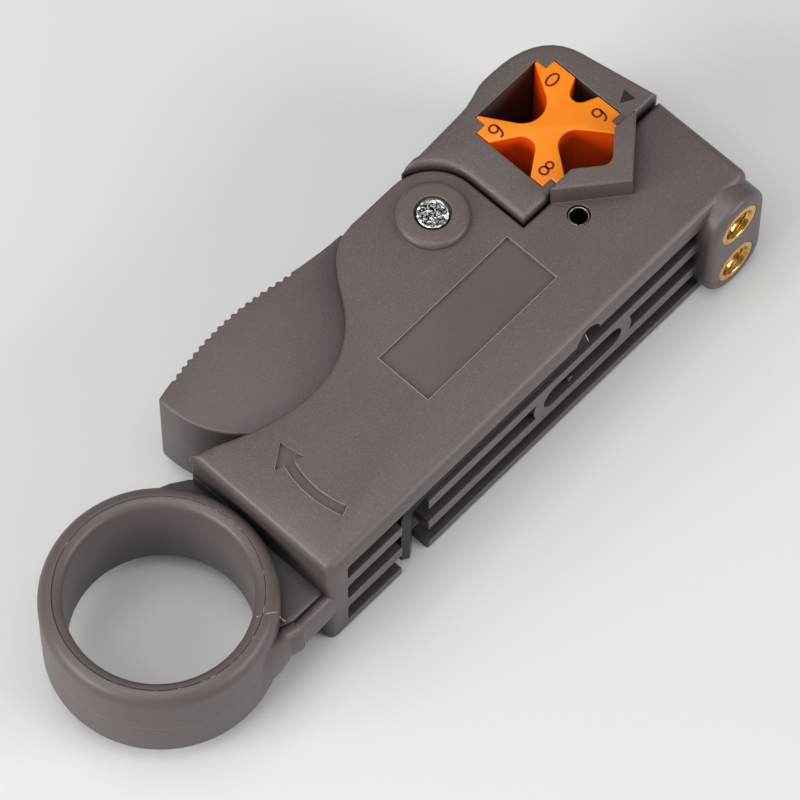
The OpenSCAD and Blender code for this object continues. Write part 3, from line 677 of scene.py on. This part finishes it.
def grip():
    n = 300
    side = bezier(GRIP_OUT, n)
    relief = []
    way = [0.0]
    for i in range(n):
        way.append(way[-1] + (Vector(side[i + 1]) - Vector(side[i])).length)
    marks = []
    for k in range(GROOVES):
        marks.append(way[round(GROOVE_START * n)] + GROOVE_LEAD + k * GROOVE_PITCH)
    for w in way:
        gap = min(abs(w - m) for m in marks)
        deep = math.sqrt(max(0.0, GROOVE_R**2 - gap * gap)) - GROOVE_LIFT
        relief.append(max(0.0, deep))
    corner = bezier([GRIP_OUT[3], (-36.15, 21.62), (-36.28, 21.4), GRIP_END[0]], 7)[1:-1]
    end = corner + bezier(GRIP_END, 18)
    outline = side + end + GRIP_IN
    relief += [0.0] * (len(end) + len(GRIP_IN))
    return soft_plate(
        "lever_grip", outline, *GRIP_Z, 1.2, 0.35, GREY_LEVER, "lever", "grey_lever", relief
    )


grip()


# The four ways of the block: depth, bottom radius and side angle, from the jaw side onwards
SCALLOPS = ((4.9, 2.45, 36), (2.7, 1.35, 24), (6.0, 3.3, 31), (4.05, 1.8, 34))
BLOCK_LOW = 1.55
BLOCK_HALF, BLOCK_NOTCH = 7.5, 1.6


def v_block():
    """The block with its four ways and its notched corners."""
    half, notch = BLOCK_HALF, BLOCK_NOTCH
    outline = []
    for k, (deep, r, lean) in enumerate(SCALLOPS):
        t = math.radians(lean)
        mouth = r * math.cos(t) + (deep - r + r * math.sin(t)) * math.tan(t)
        path = [(-half, -half + notch), (-half + notch, -half + notch), (-half + notch, -half)]
        path.append((-mouth, -half))
        path += [(x, y - half) for x, y in arc(0, deep - r, r, 180 - lean, lean, 18)]
        path.append((mouth, -half))
        c, d = math.cos(math.pi / 2 * k), math.sin(math.pi / 2 * k)
        outline += [(BLOCK[0] + x * c - y * d, BLOCK[1] + x * d + y * c) for x, y in path]
    o = soft_plate(
        "sizing_block", outline, BLOCK_LOW, BLOCK_TOP, 0.12, 0.16, ORANGE, "block",
        "orange_block", steps=3,
    )
    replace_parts(o, "v_block")
    return o


v_block()


# The slit of the rolled pin: which way it faces and half its width, in degrees
SLIT, SLIT_HALF = 223, 5
BORE_R, BORE_REACH = 1.19, 10


def spring_pin():
    """A rolled steel tube with a slit, chamfered at both ends."""
    n = 72
    top, low = 20.7, 0.3
    mid = (top + low) / 2
    outer = [(1.38, 0.0), (1.45, 0.06), (1.52, 0.4), (1.55, 0.75)]
    inner = [(1.13, 0.9), (1.16, 0.4), (1.2, 0.1), (1.26, 0.01)]
    levels = [(r, top - d) for r, d in outer] + [(r, low + d) for r, d in reversed(outer)]
    levels += [(r, low + d) for r, d in reversed(inner)] + [(r, top - d) for r, d in inner]
    pts, faces = [], []
    for r, z in levels:
        for j in range(n):
            w = math.radians(SLIT + SLIT_HALF + (360 - 2 * SLIT_HALF) * j / (n - 1))
            pts.append((ROLL[0] + r * math.cos(w), ROLL[1] + r * math.sin(w), z))
    m = len(levels)
    for i in range(m):
        for j in range(n - 1):
            k = (i + 1) % m
            faces.append((i * n + j, i * n + j + 1, k * n + j + 1, k * n + j))
    faces += [tuple(i * n for i in range(m)), tuple(i * n + n - 1 for i in range(m))]
    o = piece("spring_pin", pts, faces, PIN, "body")
    # Painted shade: the faces inside the bore take the near-black steel
    o.data.materials.append(BORE_SHADE)
    for f in o.data.polygons:
        c = f.center / MM
        if math.hypot(c.x - ROLL[0], c.y - ROLL[1]) < BORE_R and abs(c.z - mid) < BORE_REACH:
            f.material_index = 1
    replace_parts(o, "roll_pin")
    return o


spring_pin()


def rim(r):
    """Height of the ring's upper side at a distance from its middle."""
    inner, outer = RING_IN + RIM_IN, RING_OUT - RIM_OUT
    if r < inner:
        return RING_TOP - STEP_DROP - RIM_IN + math.sqrt(max(0.0, RIM_IN**2 - (inner - r) ** 2))
    if r < RING_IN + 1.38:
        return RING_TOP - STEP_DROP
    if r < outer:
        return RING_TOP
    return RING_TOP - RIM_OUT + math.sqrt(max(0.0, RIM_OUT**2 - (r - outer) ** 2))


BURR_SIDES = (0, 1.26, 2.51, 3.77, 5.03)
BURR_LEAN = Vector((0.3, 0.2, 0.93))


def ragged(name, path, radius, seed):
    """A burr: a bead whose thickness comes and goes."""
    n = len(path)
    sections = []
    for i, q in enumerate(path):
        t = (Vector(path[min(i + 1, n - 1)]) - Vector(path[max(i - 1, 0)])).normalized()
        a = t.cross(BURR_LEAN).normalized()
        c = a.cross(t).normalized()
        r = radius * max(0.12, 0.55 + 1.5 * noise.noise(Vector((i * 0.37, seed, 0.5))))
        shift = Vector((0, 0, radius * 0.6 * noise.noise(Vector((i * 0.5, seed, 7.5)))))
        spokes = [a * math.cos(w) + c * math.sin(w) for w in BURR_SIDES]
        sections.append([Vector(q) + shift + r * d for d in spokes])
    return loft(name, sections, FLASH, "body")


def pale_line(name, path, radius, closed=False):
    return bead(name, path, radius, SEAM_AND_HIGHLIGHT_GREY, "body", closed=closed)


# Parting lines and burrs of the mould
pale_line("ring_seam_out", around(*RING, RING_OUT, RING_SEAM, -72, -325, 150), 0.045)
pale_line("ring_seam_in", around(*RING, RING_IN, RING_SEAM, 90, 235, 60), 0.035)
STEP = RING_IN + 1.4
STEP_BURRS = ((196, 216), (220, 262), (266, 292), (296, 326), (350, 372), (20, 34), (96, 112))
for k, (a0, a1) in enumerate(STEP_BURRS):
    path = around(*RING, STEP, rim(STEP) - 0.02, a0, a1, int(abs(a1 - a0) * 1.2))
    ragged("ring_burr_%d" % k, path, 0.035, k * 3.7)


def burr_over_rim():
    """The burr that crosses the rim beside the bar."""
    out = []
    for i in range(22):
        t = i / 21
        r = 12.9 + 2.5 * t
        x, y = on_ring(r, -61.8 + 6.6 * t)
        out.append((x, y, rim(min(r, RING_OUT - 0.02)) + 0.01))
    return out


def burr_down_wall():
    """The burr that runs from the rim down the outer wall to the bar."""
    out = []
    for i in range(26):
        t = i / 25
        x, y = on_ring(RING_OUT + 0.02 + 0.9 * t * t, -55.2 + 3.0 * t)
        out.append((x, y, 16.3 - 3.3 * t))
    return out


ragged("ring_burr_cross", burr_over_rim(), 0.07, 21.0)
ragged("ring_burr_down", burr_down_wall(), 0.13, 33.0)

collar = [(COLLAR_X - 0.02, BAR_Y - y, 9.8 + z) for y, z in oval(0, 0, 1.45, 3.34, -60, 90, 14)]
pale_line("collar_seam", collar, 0.05)
bar_ends = [(x, SIDE + 1.28, 12.55) for x in (END - 0.4, END - 5.3)]
pale_line("bar_seam", between(*bar_ends, 10), 0.04)
pale_line("end_seam", between((END - 0.02, 11.8, 15.2), (END - 0.02, 5.5, 15.2)), 0.035)

# Painted highlights: pale beads along the edges of the sunk label and the sunk arrow
LINE_Z = TOP - 0.01
LABEL = [(-13.45, -4.63), (11.05, -4.63), (11.05, 4.17), (-13.45, 4.17)]
for i in range(4):
    ends = ((*LABEL[i], LINE_Z), (*LABEL[(i + 1) % 4], LINE_Z))
    pale_line("label_line_%d" % i, between(*ends), 0.055)
ARROW, ARROW_R, ARROW_HALF, BARB = (-17.8, -2.8), 15.2, 0.75, 2.1
barbs = ((ARROW_R - BARB, 161), (ARROW_R, 149), (ARROW_R + BARB, 161))
arrow = arc(*ARROW, ARROW_R + ARROW_HALF, 161, 199, 24)
arrow += arc(*ARROW, ARROW_R - ARROW_HALF, 199, 161, 24)
for r, w in barbs:
    arrow += arc(*ARROW, r, w, w, 1)[:1]
pale_line("arrow_line", [(x, y, LINE_Z) for x, y in arrow], 0.05, closed=True)
grip_line = [(x, y, 10.6) for x, y in bezier(GRIP_END, 14)[1:13]]
bead("grip_seam", grip_line, 0.035, SEAM_AND_HIGHLIGHT_GREY, "lever")


def pin_end():
    """The hammered end of the pivot pin, a little proud of the turned shaft."""
    rings, n, radius = 30, 84, 2.2
    pts = [(PIVOT[0], PIVOT[1], HEAD_TOP + 0.02)]
    for i in range(1, rings + 1):
        t = i / rings
        r = radius * min(1.0, t * 1.04)
        for j in range(n):
            w = 2 * math.pi * j / n
            x, y = r * math.cos(w), r * math.sin(w)
            a = noise.noise(Vector((x * 2.1, y * 2.1, 3.7)))
            c = noise.noise(Vector((x * 4.6 + 9, y * 4.6, 1.2)))
            ridge = 0.08 * math.exp(-(((t - 0.86) / 0.09) ** 2)) * (0.6 + a)
            z = HEAD_TOP + 0.05 + 0.07 * a + 0.035 * c + ridge
            if t > 0.95:
                z -= (t - 0.95) / 0.05 * 0.28
            pts.append((PIVOT[0] + x, PIVOT[1] + y, z))
    faces = [(0, 1 + j, 1 + (j + 1) % n) for j in range(n)]
    faces += [tuple(1 + v for v in f) for f in grid_faces(rings, n)]
    return piece("pin_end", pts, faces, PEENED, "body")


pin_end()


TEETH, TOOTH_STEPS = 40, 4
KNURL_R, KNURL_DEEP = 3.36, 0.26
THREAD_R, THREAD_DEEP, PITCH = 2.06, 0.26, 0.7
MOUTH_R = 2.36


def knurled_insert(name, z0, node, depth=4.6):
    """A brass insert: knurled outside, with a countersunk mouth and a screw thread inside."""
    n = TEETH * TOOTH_STEPS
    face = PAD_FACE - 0.05
    rings = []
    steps = 34
    for i in range(steps + 1):
        y = depth - (depth - 0.5) * i / steps
        ring = []
        for j in range(n):
            w = j / n
            phase = (y / PITCH - w) % 1.0
            r = THREAD_R + THREAD_DEEP * (1 - abs(2 * phase - 1))
            if y < 0.85:
                r += (MOUTH_R - r) * max(0.0, 1 - (y - 0.5) / 0.35)
            ring.append((r, y))
        rings.append(ring)
    for r, y in ((2.42, 0.16), (2.5, 0.05), (2.6, 0.0), (3.0, 0.0), (3.12, 0.02)):
        rings.append([(r, y)] * n)
    outer = (0.08, 0.22, 0.3, 2.4, 5.3, 5.5)
    for y in outer:
        ring = []
        for j in range(n):
            tooth = abs((j % TOOTH_STEPS) / TOOTH_STEPS * 2 - 1)
            deep = min(1.0, y / 0.12) * KNURL_DEEP
            r = min(3.2 + y * 2, KNURL_R) - deep * (1 - tooth) if y < 5.5 else 3.0
            ring.append((r, y))
        rings.append(ring)
    pts = []
    for ring in rings:
        for j, (r, y) in enumerate(ring):
            w = 2 * math.pi * j / n
            pts.append((SCREW_X + r * math.cos(w), face + y, z0 + r * math.sin(w)))
    faces = grid_faces(len(rings), n)
    last = (len(rings) - 1) * n
    faces += [(last + j, last + (j + 1) % n, (j + 1) % n, j) for j in range(n)]
    o = piece(name, pts, faces, BRASS, "body")
    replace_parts(o, node)
    return o


knurled_insert("insert_upper", SCREW_Z[0], "brass_insert_upper")
knurled_insert("insert_lower", SCREW_Z[1], "brass_insert_lower")


# Digits of the block, as strokes of a pen
def digit_strokes(c):
    if c == "0":
        return [(oval(0, 0, 0.62, 1.08, 0, 360, 32), True)]
    if c == "8":
        return [
            (oval(0, 0.56, 0.50, 0.50, 0, 360, 26), True),
            (oval(0, -0.54, 0.60, 0.58, 0, 360, 28), True),
        ]
    loop = oval(0, 0.46, 0.60, 0.60, 0, 360, 28)
    tail = [(0.60, 0.46)] + oval(-0.02, 0.10, 0.62, 1.16, 8, -112, 18)
    strokes = [(loop, True), (tail, False)]
    if c == "6":
        strokes = [([(-x, -y) for x, y in s], ring) for s, ring in strokes]
    return strokes


def ribbon(path, width, closed):
    """Left and right sides of a stroke of a given width."""
    pts = [Vector(p) for p in path]
    if closed:
        pts = pts[:-1]
    n = len(pts)
    out = []
    for i, p in enumerate(pts):
        a = pts[i - 1] if closed or i else p
        b = pts[(i + 1) % n] if closed or i < n - 1 else p
        t = (b - a).normalized()
        s = Vector((-t.y, t.x)) * width / 2
        out.append((p + s, p - s))
    return out


def marking(name, c, place, up, body, z, look, width=0.3):
    """One digit on the top of the block; up is the way of its top."""
    up = Vector(up).normalized()
    right = Vector((up.y, -up.x))
    pts, faces = [], []
    low, high = z - 0.02, z + 0.012
    for path, closed in digit_strokes(c):
        pairs = ribbon(path, width, closed)
        base = len(pts)
        for a, b in pairs:
            for q in (a, b):
                w = Vector(place) + right * q.x + up * q.y
                pts.append((w.x, w.y, high))
                pts.append((w.x, w.y, low))
        n = len(pairs)
        for i in range(n if closed else n - 1):
            k, m = base + 4 * i, base + 4 * ((i + 1) % n)
            faces.append((k, m, m + 2, k + 2))
            faces.append((k + 1, k + 3, m + 3, m + 1))
            faces.append((k, k + 1, m + 1, m))
            faces.append((k + 2, m + 2, m + 3, k + 3))
        if not closed:
            for k in (base, base + 4 * (n - 1)):
                faces.append((k, k + 2, k + 3, k + 1))
    return piece(name, pts, faces, look, body, smooth=False)


MARKS = (
    ("mark_0", "0", (31.86, 15.34), (-1, 0.0)),
    ("mark_9", "9", (32.17, 7.22), (0, 1)),
    ("mark_8", "8", (21.57, 6.9), (1, 0)),
    ("mark_6", "6", (21.1, 15.46), (0, -1)),
)
for name, c, place, up in MARKS:
    marking(name, c, place, up, "block", BLOCK_TOP, INK)


def pointer():
    """The sunk triangle that points at the reading place of the block."""
    tri = [(37.3, 7.5), (35.28, 6.52), (37.3, 5.46)]
    pts = [(x, y, HEAD_TOP + 0.012) for x, y in tri] + [(x, y, HEAD_TOP - 0.02) for x, y in tri]
    faces = [(0, 1, 2), (5, 4, 3), (0, 3, 4, 1), (1, 4, 5, 2), (2, 5, 3, 0)]
    return piece("pointer", pts, faces, POINTER, "lever", smooth=False)


pointer()


# ---------------------------------------------------------------- stage


def floor():
    mesh = bpy.data.meshes.new("floor")
    s, z = 1.6, -0.00002
    mesh.from_pydata([(-s, -s, z), (s, -s, z), (s, s, z), (-s, s, z)], [], [(0, 1, 2, 3)])
    k = Look("floor_pale", (0.72, 0.71, 0.69), 0.6)
    path = k.node("ShaderNodeLightPath")
    seen = k.math("MAXIMUM", path.outputs["Is Camera Ray"], path.outputs["Is Glossy Ray"])
    seen = k.math("MAXIMUM", seen, path.outputs["Is Transmission Ray"])
    k.colour(k.mix(seen, (0.14, 0.115, 0.095), (0.74, 0.73, 0.71)))
    mesh.materials.append(k.material)
    o = bpy.data.objects.new("floor", mesh)
    bpy.context.scene.collection.objects.link(o)
    return o


floor()


def softbox(name, place, target, width, height, watts, colour=(1, 1, 1)):
    light = bpy.data.lights.new(name, "AREA")
    light.shape = "RECTANGLE"
    light.size, light.size_y = width, height
    light.energy = watts
    light.color = colour
    o = bpy.data.objects.new(name, light)
    o.location = place
    o.rotation_mode = "QUATERNION"
    o.rotation_quaternion = (Vector(target) - Vector(place)).to_track_quat("-Z", "Y")
    bpy.context.scene.collection.objects.link(o)
    return o


HEART = (-0.012, 0.0, 0.01)
softbox("overhead", (-0.17, 0.0, 0.78), HEART, 0.6, 0.6, 3.2)
softbox("left_box", (-0.62, 0.16, 0.33), HEART, 0.45, 0.32, 3.4)
softbox("right_box", (0.24, -0.59, 0.34), HEART, 0.45, 0.32, 2.6)

world = bpy.data.worlds.new("studio")
bpy.context.scene.world = world
world.use_nodes = True
world.node_tree.nodes["Background"].inputs["Color"].default_value = (0.93, 0.95, 1.0, 1)
world.node_tree.nodes["Background"].inputs["Strength"].default_value = 0.2

# The camera stands where the photograph was taken from
FOCUS = mm(-15.9, -2.0, 21.0)
AZIMUTH, ELEVATION, ROLL_DEG, DISTANCE = 46.871, 63.127, -0.075, 0.769231
a, e = math.radians(AZIMUTH), math.radians(ELEVATION)
ahead = Vector((math.sin(a) * math.cos(e), math.cos(a) * math.cos(e), -math.sin(e)))
camera = bpy.data.cameras.new("camera")
camera.lens, camera.sensor_width = 270.0, 36.0
camera.clip_start, camera.clip_end = 0.05, 20.0
eye = bpy.data.objects.new("camera", camera)
eye.location = FOCUS - ahead * DISTANCE
eye.rotation_mode = "QUATERNION"
turn = Matrix.Rotation(math.radians(ROLL_DEG), 4, ahead)
eye.rotation_quaternion = turn.to_quaternion() @ ahead.to_track_quat("-Z", "Y")
bpy.context.scene.collection.objects.link(eye)
bpy.context.scene.camera = eye
bpy.context.scene.view_settings.view_transform = "Standard"
